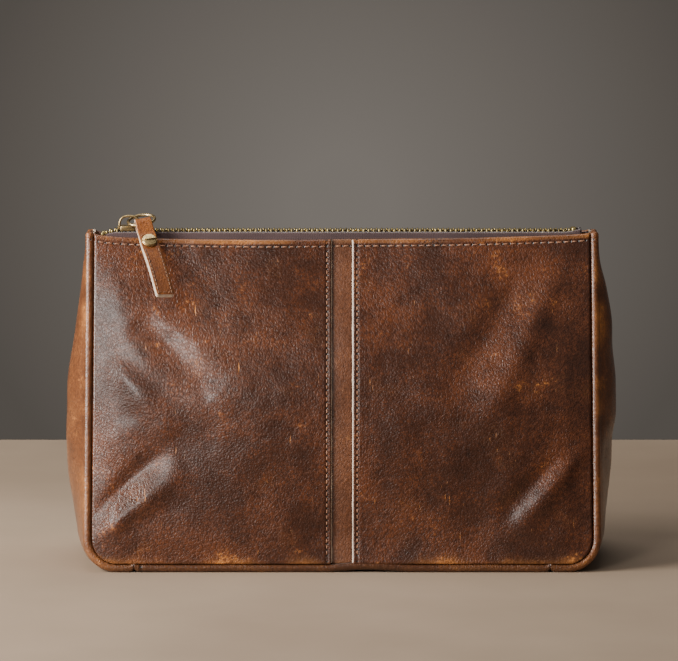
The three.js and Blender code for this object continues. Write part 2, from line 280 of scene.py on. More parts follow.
def swell(x, z):
    """How far a filled wall stands out: flat across the middle, and a sine upwards."""
    rise = unit((z - seam_z) / (height - seam_z))
    return 7.5 * MM * (1 - np.abs(x / seam_x) ** 3.4) * np.sin(np.pi * rise) ** 1.5


def folded(x, z, waves, folds):
    """Waves and folds together, faded out close to the seams."""
    for depth, width, start, end in folds:
        waves = waves + crease(x, z, start, end, width, depth * MM)
    inside = unit((seam_x - np.abs(x)) / relief_fade)
    return waves * inside * unit((z - seam_z) / relief_fade)


relief_fade = 12 * MM  # from a seam to the full dents
front_folds = [  # depth in mm, width, start and end
    (1.5, 0.0060, (-0.124, 0.012), (-0.074, 0.050)), (-1.1, 0.0048, (-0.124, 0.024), (-0.084, 0.060)),
    (1.9, 0.0085, (0.104, 0.140), (0.070, 0.070)), (-1.5, 0.0085, (0.086, 0.140), (0.050, 0.080)),
    (1.5, 0.0060, (0.118, 0.060), (0.082, 0.018)), (-1.1, 0.0055, (0.104, 0.055), (0.075, 0.024)),
    (-1.4, 0.0100, (-0.100, 0.120), (-0.060, 0.085)), (1.2, 0.0080, (-0.112, 0.100), (-0.080, 0.065))]
back_folds = [(1.8, 0.009, (-0.110, 0.130), (-0.060, 0.075)), (-1.6, 0.007, (0.110, 0.050), (0.070, 0.016))]


def front_relief(x, z):
    """Soft dents and folds of the front leather, outwards, in metres."""
    waves = 1.1 * MM * lattice_noise(x + 1, z + 1, 0.046, 11)
    waves = waves + 0.45 * MM * lattice_noise(x + 1, z + 1, 0.019, 12)
    waves = waves + 0.10 * MM * lattice_noise(x + 1, z + 1, 0.006, 13)
    return folded(x, z, waves, front_folds)


def back_relief(x, z):
    """The same kind of dents on the back wall, from other noise."""
    waves = 1.2 * MM * lattice_noise(x + 2, z + 1, 0.050, 21)
    waves = waves + 0.4 * MM * lattice_noise(x + 2, z + 1, 0.018, 22)
    return folded(x, z, waves, back_folds)


def top_line(x):
    """Height of the leather's top edge: it sags between the ends, most left of the middle."""
    share = unit(1 - (x / seam_x) ** 2)
    return height - 3.4 * MM * share**0.42 * (1 - 0.32 * x / seam_x)


def edge_distance(x, z):
    """Distance inwards from the side and bottom seams, round the lower corners."""
    centre_x, centre_z = seam_x - corner_radius, seam_z + corner_radius
    dx, dz = np.abs(x) - centre_x, centre_z - z
    radial = corner_radius - np.hypot(np.maximum(dx, 0), np.maximum(dz, 0))
    return np.where((dx > 0) & (dz > 0), radial, np.minimum(seam_x - np.abs(x), z - seam_z))


def wall_surface(x, z, side, relief, inset=0.0):
    """Point of a wall's outer skin. side is -1 for the front and 1 for the back. Close to
    a seam the skin turns inwards on a quarter circle."""
    inward = unit(1 - edge_distance(x, z) / seam_turn)
    turned = seam_turn * (1 - np.sqrt(unit(1 - inward**2)))
    depth = wall_depth(z) + swell(x, z) + relief(x, z) - turned - inset
    return np.stack([x, side * depth, z], axis=-1)


def wall_reach(z, inset=0.0):
    """Half width of a wall at a height, following the rounded lower corners."""
    drop = np.clip(seam_z + corner_radius - z, 0, corner_radius - inset)
    return seam_x - corner_radius + np.sqrt((corner_radius - inset) ** 2 - drop**2)


def spaced(low, high, count, fine):
    """Values from low to high with extra ones close to both ends, fine apart."""
    near = np.arange(4) * fine
    return np.concatenate([low + near, np.linspace(low + 5 * fine, high - 5 * fine, count),
                           high - near[::-1]])


def sheet_faces(rows, columns, flip):
    """Quads of a rows by columns grid, turned over if flip is set."""
    index = np.arange(rows * columns).reshape(rows, columns)
    quads = np.stack([index[:-1, :-1], index[:-1, 1:], index[1:, 1:], index[1:, :-1]], axis=-1)
    quads = quads.reshape(-1, 4)
    return (quads[:, ::-1] if flip else quads).tolist()


def sheet_object(name, points, cut, outward, materials, values=None):
    """A sheet from a grid of points. cut holds each point's place in the flat pattern, in
    metres, outward is a direction its faces must look along, and values are vertex attributes."""
    rows, columns = points.shape[:2]
    across = points[rows // 2, columns // 2 + 1] - points[rows // 2, columns // 2 - 1]
    along = points[rows // 2 + 1, columns // 2] - points[rows // 2 - 1, columns // 2]
    flip = np.dot(np.cross(across, along), outward) < 0
    piece = mesh_object(name, points, sheet_faces(rows, columns, flip), materials[0])
    for extra in materials[1:]:
        piece.data.materials.append(extra)
    corners = np.empty(len(piece.data.loops), dtype=np.int32)
    piece.data.loops.foreach_get("vertex_index", corners)
    layer = piece.data.uv_layers.new(name="cut")
    layer.data.foreach_set("uv", cut.reshape(-1, 2)[corners].astype(np.float32).ravel())
    for key, value in (values or {}).items():
        attribute = piece.data.attributes.new(key, "FLOAT", "POINT")
        attribute.data.foreach_set("value", np.asarray(value, dtype=np.float32).ravel())
    return piece


def give_wall(piece, thickness, rim_material=0):
    """Thickness inwards from the outer skin, with its own material on the cut edges."""
    wall = piece.modifiers.new("thickness", "SOLIDIFY")
    wall.thickness, wall.offset = thickness, -1
    wall.use_even_offset = False
    wall.material_offset_rim = rim_material
    return piece


def belongs(piece, body, slot, *nodes):
    """Says which body a piece moves with and which nodes it stands for, and hides those nodes.
    The slot is not used. A piece with no one body gets its transform baked into its mesh."""
    if body:
        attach(piece, body)
    else:
        follow_back_wall(piece)
    if nodes:
        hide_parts(*nodes)


def leather_of(name, tones, worn, gloss=0.27, grain=0.0009, rows=(), coat=0.30):
    """Glazed pull-up leather: tones from deep to bright mottled over the hide, a pebbled
    grain with fine creases, scratches that show the worn colour, and wear on the edges.
    Painted shade darkens it where a vertex attribute asks, in the needle holes and along the stitch rows.
    rows are lines of needle holes: (axis, place, pitch) in the flat pattern."""
    material, shader, tree = finish_of(name, {
        "Coat Roughness": 0.20, "Coat IOR": 1.45, "Specular IOR Level": 0.34})
    cut = add_node(tree, "ShaderNodeUVMap", {"uv_map": "cut"}, {})
    wear = add_node(tree, "ShaderNodeAttribute", {"attribute_name": "wear"}, {}, 2)
    groove = add_node(tree, "ShaderNodeAttribute", {"attribute_name": "groove"}, {}, 2)
    broad = noise(cut, 17.0, 3.0)
    middle = noise(cut, 75.0, 5.0, 0.6)
    fine = noise(cut, 520.0, 4.0, 0.65)
    wander = noise(cut, 300.0, 2.0, 0.5, 1)
    bent = add_node(tree, "ShaderNodeVectorMath", {"operation": "MULTIPLY_ADD"}, {
        0: wander, 1: (0.0011, 0.0011, 0), 2: cut})
    pebbles = add_node(tree, "ShaderNodeTexVoronoi", {"feature": "SMOOTH_F1"}, {
        "Vector": bent, "Scale": 1 / grain, "Smoothness": 0.4})
    cracks = add_node(tree, "ShaderNodeTexVoronoi", {"feature": "DISTANCE_TO_EDGE"}, {
        "Vector": bent, "Scale": 0.5 / grain})
    valley = 1 - step(cracks, 0.0, 0.16)
    creased = valley * step(middle, 0.42, 0.62)
    where = noise(cut, 44.0, 3.0, 0.5)
    scratch = 0.0
    for angle, low, high in ((0.9, 0.54, 0.64), (-0.5, 0.46, 0.36), (0.2, 0.60, 0.66)):
        turned = add_node(tree, "ShaderNodeMapping", {}, {
            "Vector": bent, "Rotation": (0, 0, angle), "Scale": (1300, 90, 1)})
        streak = step(noise(turned, 1.0, 2.0), 0.66, 0.76)
        scratch = streak * step(where, low, high) + scratch
    scuff = step(middle * 0.6 + fine * 0.4 + broad * 0.25, 0.70, 0.80)
    # Painted shade: the tone is a little darker in the grain's creases.
    tone = broad * 0.5 + middle * 0.46 + fine * 0.34 - creased * 0.08 - 0.08
    colour = ramp(tone, [(0.36, tones[0]), (0.53, tones[1]), (0.70, tones[2])])
    crazed = valley * step(where, 0.48, 0.66)
    rubbed = wear * (0.35 + middle * 1.1) + scratch * 0.85 + scuff * 0.45 + crazed * 0.26
    colour = blend_colours(step(rubbed, 0.12, 1.0), colour, (*worn, 1))
    height = pebbles * 0.55 - valley * 0.42 * step(broad, 0.35, 0.65) + fine * 0.35
    height = height - scratch * 0.25 + middle * 1.3
    # Painted shade: a vertex attribute darkens seam grooves and hollows.
    shade = groove
    for axis, row_place, pitch in rows:
        parts = add_node(tree, "ShaderNodeSeparateXYZ", {}, {0: cut}, axis)
        run = add_node(tree, "ShaderNodeSeparateXYZ", {}, {0: cut}, 1 - axis)
        off = (parts - row_place) / (0.00055)
        phase = add_node(tree, "ShaderNodeMath", {"operation": "PINGPONG"}, {0: run, 1: pitch / 2})
        hole = 1 - step(phase, 0.00018, 0.00050)
        near = add_node(tree, "ShaderNodeMath", {"operation": "ABSOLUTE"}, {0: off})
        hole = hole * (1 - step(near, 0.5, 1.1))
        trough = 1 - step(near, 0.6, 2.6)
        # Painted shade in each needle hole and along the stitch trough.
        shade = shade + hole * 0.95 + trough * 0.22
        height = height - hole * 1.5 - trough * 0.8
    # The painted shade blends the colour towards near black.
    colour = blend_colours(step(shade, 0.0, 1.1), colour, (0.012, 0.006, 0.004, 1))
    rough = gloss + fine * 0.16 + valley * 0.10 + wear * 0.12 - 0.06
    feed(shader, Base_Color=colour, Roughness=rough, Coat_Weight=coat - valley * 0.16,
         Normal=bump(height, 0.55, 0.00042))
    return material


def raw_edge():
    """The cut edge of leather: pale beige fibre with faint darker layers."""
    material, shader, tree = finish_of("raw_leather_edge", {})
    fibre = noise(place_on_piece(tree), 1400.0, 4.0, 0.7)
    streak = noise(place_on_piece(tree), 90.0, 3.0)
    feed(shader, Base_Color=ramp(fibre * 0.6 + streak * 0.4, [
        (0.35, (0.34, 0.26, 0.19)), (0.55, (0.56, 0.46, 0.37)), (0.72, (0.74, 0.65, 0.56))]),
        Roughness=0.75 + fibre * 0.2, Normal=bump(fibre, 0.4, 0.0002))
    return material


hide_tones = [(0.017, 0.0062, 0.0031), (0.046, 0.0148, 0.0066), (0.130, 0.039, 0.0140)]
worn_tone = (0.50, 0.190, 0.045)
centre_pitch = 2.9 * MM
hem_pitch = 3.7 * MM
centre_row = 2.5 * MM  # stitch row to the strip's opening
raw_slant = 0.55 * MM  # width of a panel's slanting raw edge
flap = 5 * MM  # turned-in end of a hem
hem_row = 3.3 * MM  # stitch row below the top edge
pattern_top = 0.2  # the hem's place in the flat pattern

panel_leather = leather_of("panel_leather", hide_tones, worn_tone, rows=[
    (0, -strip_half - centre_row, centre_pitch), (0, strip_half + centre_row, centre_pitch),
    (1, pattern_top - hem_row, hem_pitch)])
edge_leather = raw_edge()


def panel_grid(from_edge, to_edge, columns, side, relief, inset=0.0):
    """Grid of a wall from its bottom seam up, over the turned hem and down behind it.
    Returns the points, their places in the flat pattern and the distances for wear and painted shade."""
    share = spaced(0, 1, columns, 0.6 * MM / abs(from_edge(0.1) - to_edge(0.1)))
    corner = np.linspace(0, math.pi / 2, 14, endpoint=False)
    low = seam_z + corner_radius * (1 - np.cos(corner)) + 0.05 * MM * (corner == 0)
    rise = np.linspace(0, 1, 112)
    lean = math.hypot(1, (base_depth - top_depth) / (height - seam_z))
    x_low = np.array([from_edge(z) + (to_edge(z) - from_edge(z)) * share for z in low])
    z_low = np.broadcast_to(low[:, None], x_low.shape)
    x_side = np.broadcast_to(from_edge(height) + (to_edge(height) - from_edge(height)) * share,
                             (len(rise), len(share)))
    shoulder = top_line(x_side) - hem_radius
    z_side = seam_z + corner_radius + (shoulder - seam_z - corner_radius) * rise[:, None]
    x, z = np.vstack([x_low, x_side]), np.vstack([z_low, z_side])
    skin = wall_surface(x, z, side, relief, inset)
    turn = np.linspace(0, math.pi, 9)[1:]
    edge, crest = skin[-1], []
    for angle in turn:
        crest.append(edge + np.stack([
            np.zeros(len(share)), -side * hem_radius * (1 - np.cos(angle)) * np.ones(len(share)),
            hem_radius * np.sin(angle) * np.ones(len(share))], axis=-1))
    slope = (base_depth - top_depth) / (height - seam_z)
    turned_in = crest[-1] + np.array([0, side * (flap * slope + 0.3 * MM), -flap])
    points = np.concatenate([skin, np.array(crest), turned_in[None]])
    behind = np.concatenate([hem_radius * turn, [hem_radius * math.pi + flap]])
    below = pattern_top - hem_radius - (top_line(x) - hem_radius - z) * lean
    above = pattern_top - hem_radius + behind[:, None] * np.ones(len(share))
    cut = np.stack([np.vstack([x, np.tile(edge[:, 0], (len(behind), 1))]),
                    np.vstack([below, above])], axis=-1)
    seam = np.vstack([edge_distance(x, z), np.full((len(behind), len(share)), 0.05)])
    hem = np.abs(pattern_top - cut[..., 1])
    return points, cut, seam, hem


def panel_values(points, cut, seam, hem):
    """Wear on the hem, the seams and the lower edge; painted shade in the grooves where the skin turns into
    a seam.
    """
    x, z = points[..., 0], points[..., 2]
    patches = 0.5 + 0.5 * lattice_noise(x + 3, z + 3, 0.014, 31)
    lower = np.exp(-np.abs(z - seam_z) / 0.0045) * (0.12 + 0.5 * patches)
    sides = np.exp(-seam / 0.0018) * 0.25 * patches
    top = unit(1 - (hem - 1.6 * MM) / (1.2 * MM)) * (0.15 + 0.5 * patches)
    # Painted shade: darker where the skin turns into a seam.
    groove = unit(1 - seam / (0.5 * MM)) ** 1.5
    return {"wear": np.maximum.reduce([lower, sides, top]), "groove": groove * 0.3}


outer_edge = lambda z: wall_reach(z)
for word, sign in (("left", -1), ("right", 1)):
    name = f"front_{word}_leather"
    grid = panel_grid(lambda z: sign * (strip_half + raw_slant), lambda z: sign * outer_edge(z), 84, -1,
                      front_relief)
    panel = sheet_object(name, grid[0], grid[1], (0, -1, 0), [panel_leather, edge_leather],
                         panel_values(*grid))
    give_wall(panel, leather_thickness, rim_material=1)
    belongs(panel, "bag", "panel_leather", name.replace("leather", "panel"))

    share = np.array([0.0, 0.1, 0.35, 0.7, 1.0])
    z = np.linspace(seam_z + 0.8 * MM, float(top_line(0.0)) - 0.3 * MM, 240)[:, None] + 0 * share
    ragged = 0.16 * MM * lattice_noise(z + 4, sign * 0.02 + 4, 0.0035, 17)
    x = sign * (strip_half + raw_slant * (1 - share) + ragged * share)
    sunk = leather_thickness * share**1.4 + 0.04 * MM
    points = wall_surface(x, np.minimum(z, top_line(0.0) - hem_radius), -1, front_relief)
    over_hem = unit((z - top_line(0.0) + hem_radius) / hem_radius)
    points[..., 1] += sunk + hem_radius * (1 - np.sqrt(1 - over_hem**2))
    points[..., 2] = z
    edge = sheet_object(f"front_{word}_raw_edge", points, np.stack([x, z], axis=-1),
                        (0, -1, 0), [edge_leather])
    belongs(edge, "bag", "panel_leather")

# ---------------- centre strip
# A narrow strip of duller leather, sewn behind the raw edges of the two panels.
# It swells a little between the stitch rows and ends in the same turned hem.
strip_lap = 3 * MM
strip_inset = leather_thickness + 0.2 * MM
strip_reach = strip_half + strip_lap

strip_leather = leather_of(
    "strip_leather", [(0.034, 0.0110, 0.0042), (0.092, 0.0315, 0.0125), (0.175, 0.064, 0.026)],
    (0.34, 0.16, 0.055), gloss=0.42, rows=[(1, pattern_top - hem_row, hem_pitch)])


def strip_relief(x, z):
    """The front's dents, and a low swell across the strip."""
    return front_relief(x, z) + 0.6 * MM * (1 - (x / strip_reach) ** 2)


grid = panel_grid(lambda z: -strip_reach, lambda z: strip_reach, 18, -1, strip_relief, strip_inset)
values = panel_values(*grid)
# Painted shadow on the strip under the panels' raw edges, darkest close to each edge.
values["groove"] = values["groove"] + unit(
    (np.abs(grid[0][..., 0]) - strip_half + 1.3 * MM) / (1.3 * MM)) * 0.6
strip = sheet_object("centre_strip_leather", grid[0], grid[1], (0, -1, 0),
                     [strip_leather, edge_leather], values)
give_wall(strip, 1.0 * MM, rim_material=1)
belongs(strip, "bag", "strip_leather", "front_centre_strip")

# ---------------- back
# One wide piece of the same leather, turned in at the seams and hemmed at the top.
back_leather_finish = leather_of("back_leather", hide_tones, worn_tone,
                                 rows=[(1, pattern_top - hem_row, hem_pitch)])


def follow_back_wall(piece):
    """Bakes a soft piece's transform into its mesh; the piece is not bent."""
    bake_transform(piece)


grid = panel_grid(lambda z: -wall_reach(z), lambda z: wall_reach(z), 150, 1, back_relief)
back = sheet_object("back_leather", grid[0], grid[1], (0, 1, 0),
                    [back_leather_finish, edge_leather], panel_values(*grid))
give_wall(back, leather_thickness, rim_material=1)
belongs(back, None, "panel_leather", "back_panel")

# ---------------- gussets and base
# One band of softer leather in three lengths, sewn to the walls inside out. Each of
# its long edges stands as a burnished roll along the seam, and its middle bulges.
roll_radius = 2.1 * MM
valley_depth = 0.12 * MM
roll_start, roll_end = math.radians(-75), math.radians(90)
base_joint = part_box("base_panel")[1][0] + 0.15 * MM
base_swell = seam_z
base_power = 10.2  # of the base's bulge across: nearly flat
gusset_power = 2.2
band_thickness = 1.2 * MM
joint_pull = 1.1 * MM  # the leather dips towards the base joints

band_tones = [(0.044, 0.0155, 0.0064), (0.120, 0.0420, 0.0155), (0.260, 0.098, 0.032)]
band_leather = leather_of("gusset_leather", band_tones, (0.55, 0.215, 0.05), gloss=0.27,
                          grain=0.0009, rows=[(1, pattern_top - hem_row, hem_pitch)])


def left_swell(z):
    """Bulge of the left gusset: a sine of the height, fullest at two fifths."""
    return 3.4 * MM + 10.6 * MM * np.sin(np.pi * unit(z / height) ** 0.756)


def right_swell(z):
    """Bulge of the right gusset: a sine of the height, fullest half way up."""
    return 4.4 * MM + 8.3 * MM * np.sin(np.pi * unit(z / height))


def band_route(swell_at, inset, top, counts):
    """The seam's route down a side, round the corner and along the base to the joint.
    Returns x and z, the outward direction, the bulge, the roundness across and the
    distance from the top, one row for each station."""
    side_count, corner_count, foot_count = counts
    corner_top = seam_z + corner_radius
    z_side = np.linspace(top, corner_top, side_count, endpoint=False)
    share = np.linspace(0, 1, corner_count)
    turn = share * math.pi / 2
    radius = corner_radius - inset
    x_foot = np.linspace(seam_x - corner_radius, base_joint, foot_count + 1)[1:]
    x = np.concatenate([np.full(side_count, seam_x - inset),
                        seam_x - corner_radius + radius * np.cos(turn), x_foot])
    z = np.concatenate([z_side, corner_top - radius * np.sin(turn),
                        np.full(foot_count, seam_z + inset)])
    out_x = np.concatenate([np.ones(side_count), np.cos(turn), np.zeros(foot_count)])
    ease = share**2 * (3 - 2 * share)
    foot = swell_at(corner_top) + (base_swell - swell_at(corner_top)) * ease
    bulge = np.concatenate([swell_at(z_side), foot, np.full(foot_count, base_swell)])
    power = np.concatenate([np.full(side_count, gusset_power),
                            gusset_power + (base_power - gusset_power) * ease,
                            np.full(foot_count, base_power)])
    run = np.concatenate([[0], np.cumsum(np.hypot(np.diff(x), np.diff(z)))])
    return np.stack([x, z, out_x, -np.sqrt(1 - out_x**2), bulge, power, run])


def band_section(half, bulge, power, lift):
    """One section across the band: a roll from the front seam, the bulging middle and the
    back seam's roll. Returns y, the outward distance, the angle on the roll and the
    valley's painted shade."""
    angle = np.linspace(roll_start, roll_end, 10)
    roll_y = half - roll_radius + roll_radius * np.cos(angle)
    roll_out = (math.sin(-roll_start) + np.sin(angle)) * roll_radius - lift
    crest = roll_out[-1]
    t = np.linspace(-1, 1, 50)[1:-1]
    t = 0.6 * t + 0.4 * np.sin(t * math.pi / 2)
    behind = (1 - np.abs(t)) * (half - roll_radius)
    valley = valley_depth * np.exp(-(((behind - 1.5 * MM) / (1.0 * MM)) ** 2))
    middle = crest + (bulge - crest) * (1 - np.abs(t) ** power) - valley
    y = np.concatenate([-roll_y, t * (half - roll_radius), roll_y[::-1]])
    on_roll = np.concatenate([angle, np.full(len(t), 9.0), angle[::-1]])
    # Painted shade in the valley behind the roll.
    dark = np.concatenate([np.zeros(10), valley / valley_depth, np.zeros(10)])
    return y, np.concatenate([roll_out, middle, roll_out[::-1]]), on_roll, dark


def band_grid(route, side, relief, seed):
    """Grid of a band along its route, in rows of sections, with its flat pattern, wear and
    painted shade. side is -1 to lay it on the left."""
    points, cuts, wear, groove = [], [], [], []
    for x, z, out_x, out_z, bulge, power, run in route.T:
        lift = 1.5 * MM * (1 - out_x) * max(0.0, float(lattice_noise(x + 5, 5, 0.030, seed)))
        y, out, angle, dark = band_section(float(wall_depth(z)), bulge, power, lift)
        middle = angle > 5
        bump_out = relief(y, np.full(len(y), run), out_x)
        arc = np.concatenate([[0], np.cumsum(np.hypot(np.diff(y), np.diff(out)))])
        fade = np.where(middle, unit((np.abs(y).max() - np.abs(y)) / 0.012), 0)
        out = out + bump_out * fade
        points.append(np.stack([side * (x + out * out_x), y, z + out * out_z], axis=-1))
        cuts.append(np.stack([arc - arc[-1] / 2, np.full(len(y), pattern_top - run)], axis=-1))
        patch = 0.5 + 0.5 * lattice_noise(y + 5, run + 5, 0.011, seed + 1)
        worn = np.where(middle, np.exp(-(np.abs(y).max() - np.abs(y) - roll_radius) / 0.005),
                        np.exp(-np.clip((0.5 - angle) / 0.8, 0, 3) ** 2))
        wear.append(worn * (0.08 + 0.42 * patch) * (0.3 + 0.7 * out_x))
        # Painted shade: in the valley behind each roll, on the roll's seam side, and on the base and lower
        # corners that face down.
        groove.append(np.where(middle, 0.15 * dark, unit((-0.7 - angle) / 0.6) * 0.4)
                      + 0.55 * (1 - out_x))
    return np.array(points), np.array(cuts), np.array(wear), np.array(groove)


def gusset_relief(seed, size):
    """Dents and cross folds of a gusset, in metres: noise that is longer along the band's width."""
    def relief(y, run, out_x):
        waves = lattice_noise(y + 2, run + 2, 0.034, seed) * 1.1 * MM
        folds = lattice_noise(y * 0.45 + 2, run + 2 + 0.15 * y, 0.015, seed + 1) * 0.6 * MM
        return (waves + folds) * size * out_x
    return relief


def hemmed(points, cut, wear, groove, side):
    """Adds a turned hem in front of the first row of a band grid."""
    turn = np.linspace(math.pi, 0, 9)[:-1]
    edge, side_of = np.abs(points[0][:, 1]).max(), np.sign(points[0][:, 1])
    full = unit((edge - np.abs(points[0][:, 1]) - 1.9 * MM) / (2.5 * MM))
    roll_x = points[0][0, 0] - side * math.sin(roll_start) * roll_radius
    to_roll_x = roll_x - points[0][:, 0]
    to_roll_y = side_of * (edge - roll_radius) - points[0][:, 1]
    rows = []
    for angle, rise in [(math.pi, -flap)] + [(a, hem_radius * math.sin(a)) for a in turn]:
        inwards = hem_radius * (1 - math.cos(angle))
        gather = 0.8 * (1 - full) * (1 - math.cos(angle)) / 2
        rows.append(points[0] + np.stack([gather * to_roll_x - side * inwards * full,
                                          gather * to_roll_y, rise + 0 * full], axis=-1))
    behind = np.concatenate([[math.pi * hem_radius + flap], hem_radius * turn])
    flat = np.stack([np.tile(cut[0, :, 0], (9, 1)),
                     pattern_top - hem_radius + behind[:, None] * np.ones(cut.shape[1])], axis=-1)
    edge_wear = np.tile(0.22 + 0.2 * lattice_noise(points[0][:, 1] + 5, 5, 0.006, 77), (9, 1))
    return (np.concatenate([rows, points]), np.concatenate([flat, cut]),
            np.concatenate([edge_wear, wear]), np.concatenate([np.tile(groove[:1], (9, 1)), groove]))


hem_curves = {}  # each gusset's section at the hem stitches
for word, side, swell_at, seed, size in (("left", -1, left_swell, 41, 0.8),
                                         ("right", 1, right_swell, 45, 1.5)):
    route = band_route(swell_at, 0.0, height - hem_radius, (110, 20, 12))
    points, cut, wear, groove = band_grid(route, side, gusset_relief(seed, size), seed)
    cut = cut - np.array([0, hem_radius])
    at_joint = np.exp(-((route[6][-1] - route[6]) / joint_pull) ** 2)[:, None]
    points = points + at_joint[..., None] * np.array([0, 0, 1.0 * MM])
    # Painted shade where the leather dips at the base joint.
    groove = np.maximum(groove, 0.8 * at_joint)
    points, cut, wear, groove = hemmed(points, cut, wear, groove, side)
    hem_curves[side] = points[9 + int(np.argmin(np.abs(route[1] - height + hem_row)))]
    gusset = sheet_object(f"{word}_gusset_leather", points, cut, (side, 0, 0),
                          [band_leather, edge_leather], {"wear": wear, "groove": groove})
    give_wall(gusset, band_thickness, rim_material=1)
    belongs(gusset, None, "gusset_leather", f"{word}_gusset")


def base_route(x, inset):
    """The straight route along the base, from joint to joint."""
    row = [0 * x + value for value in (seam_z + inset, 0, -1, base_swell, base_power)]
    return np.stack([x, *row, x + base_joint])


base_x = spaced(-base_joint, base_joint, 110, 0.5 * MM)
points, cut, wear, groove = band_grid(base_route(base_x, 0.0), 1, lambda y, run, out_x: 0.0, 51)
at_joint = np.exp(-((base_joint - np.abs(base_x)) / joint_pull) ** 2)[:, None]
points = points + at_joint[..., None] * np.array([0, 0, 1.0 * MM])
# Painted shade where the base dips at its joints, as on the gussets.
base = sheet_object("base_leather", points, cut, (0, 0, -1), [band_leather, edge_leather],
                    {"wear": wear, "groove": np.maximum(groove, 0.8 * at_joint)})
give_wall(base, band_thickness, rim_material=1)
belongs(base, "bag", "gusset_leather", "base_panel")

# ---------------- stitches
# Waxed thread in single stitches that dip into the leather at their ends. Two rows
# hold the centre strip, and one row holds the turned hem right round the opening.
thread_radius = 0.29 * MM


def loft_object(name, shapes, material, looped=False):
    """One mesh of several lofted solids. shapes is an array of solids, each a stack of rings
    of points; a looped solid's last ring joins its first, the others get flat ends."""
    count, rings, sides = shapes.shape[:3]
    ring = np.arange(rings if looped else rings - 1)[:, None]
    side = np.arange(sides)[None, :]
    after, beside = (ring + 1) % rings, (side + 1) % sides
    quads = np.stack([ring * sides + side, ring * sides + beside,
                      after * sides + beside, after * sides + side], axis=-1).reshape(-1, 4)
    first = shapes[0].reshape(-1, 3) - shapes[0].reshape(-1, 3).mean(axis=0)
    a, b, c, d = (first[quads[:, k]] for k in range(4))
    inside_out = (np.cross(b - a, c - a) * a + np.cross(c - a, d - a) * a).sum() < 0
    ends = [] if looped else [list(range(sides))[::-1], list(range((rings - 1) * sides, rings * sides))]
    faces = quads.tolist() + ends
    if inside_out:
        faces = [face[::-1] for face in faces]
    every = [[v + k * rings * sides for v in face] for k in range(count) for face in faces]
    return mesh_object(name, shapes.reshape(-1, 3), every, material)


def tubes(centres, across, radii, sides):
    """Rings round each line of centre points. across is a direction at right angles to the
    line, and radii has one radius for each point or a pair for an oval."""
    travel = np.gradient(centres, axis=-2)
    travel /= np.linalg.norm(travel, axis=-1, keepdims=True)
    beside = np.cross(travel, across)
    beside /= np.linalg.norm(beside, axis=-1, keepdims=True)
    around = np.cross(beside, travel)
    angle = np.arange(sides) * 2 * math.pi / sides
    radii = np.broadcast_to(np.asarray(radii)[..., None, :], (*centres.shape[:-1], 1, 2))
    return (centres[..., None, :] + beside[..., None, :] * radii[..., 1:] * np.sin(angle)[:, None]
            + around[..., None, :] * radii[..., :1] * np.cos(angle)[:, None])


def thread_of(name, tones):
    """Waxed twisted thread: fine diagonal strands over a mottled tone."""
    material, shader, tree = finish_of(name, {"Specular IOR Level": 0.4})
    place = place_on_piece(tree)
    strand = noise(place, 2600.0, 2.0)
    patch = noise(place, 120.0, 3.0)
    feed(shader, Base_Color=ramp(strand * 0.4 + patch * 0.6, [
        (0.36, tones[0]), (0.62, tones[1])]), Roughness=0.5 + strand * 0.25,
        Normal=bump(strand, 0.4, 0.00012))
    return material


def stitches(name, starts, ends, normals, material, radius=thread_radius):
    """A piece of thread from each start to its end, proud in the middle and sunk at the ends."""
    share = np.array([0.0, 0.1, 0.5, 0.9, 1.0])
    proud = np.array([-1.3, -0.15, 0.35, -0.15, -1.3]) * radius
    thick = np.array([0.6, 0.9, 1.0, 0.9, 0.6]) * radius
    starts, ends, normals = (np.asarray(v)[:, None, :] for v in (starts, ends, normals))
    centres = starts + (ends - starts) * share[:, None] + normals * proud[:, None]
    rings = tubes(centres, np.broadcast_to(normals, centres.shape),
                  np.stack([thick * 0.8, thick], axis=-1), 6)
    return loft_object(name, rings, material)


def normals_of(surface, u, v):
    """Unit normals of surface(u, v) from small steps along u and v."""
    tiny = 0.2 * MM
    cross = np.cross(surface(u + tiny, v) - surface(u, v), surface(u, v + tiny) - surface(u, v))
    return cross / np.linalg.norm(cross, axis=-1, keepdims=True)


dark_thread = thread_of("dark_thread", [(0.17, 0.070, 0.034), (0.42, 0.215, 0.125)])
wall_lean = math.hypot(1, (base_depth - top_depth) / (height - seam_z))
stitch_margin = 0.55 * MM  # from a needle hole to the thread's end


def pattern_height(x, v):
    """Height of the point at v in the flat pattern."""
    return top_line(x) - hem_radius - (pattern_top - hem_radius - v) / wall_lean


def wall_stitches(name, u, v, step_u, step_v, side, relief, inset, body):
    """Stitches that start at (u, v) in a wall's flat pattern and run on by the step."""
    surface = lambda a, b: wall_surface(a, pattern_height(a, b), side, relief, inset)
    reach = math.hypot(step_u, step_v)
    margin = stitch_margin / reach
    begin = surface(u + step_u * margin, v + step_v * margin)
    end = surface(u + step_u * (1 - margin), v + step_v * (1 - margin))
    outward = normals_of(surface, u + step_u / 2, v + step_v / 2) * side
    outward = outward * np.sign(outward[:, 1:2] * side)
    row = stitches(name, begin, end, outward, dark_thread)
    belongs(row, body, "panel_leather")


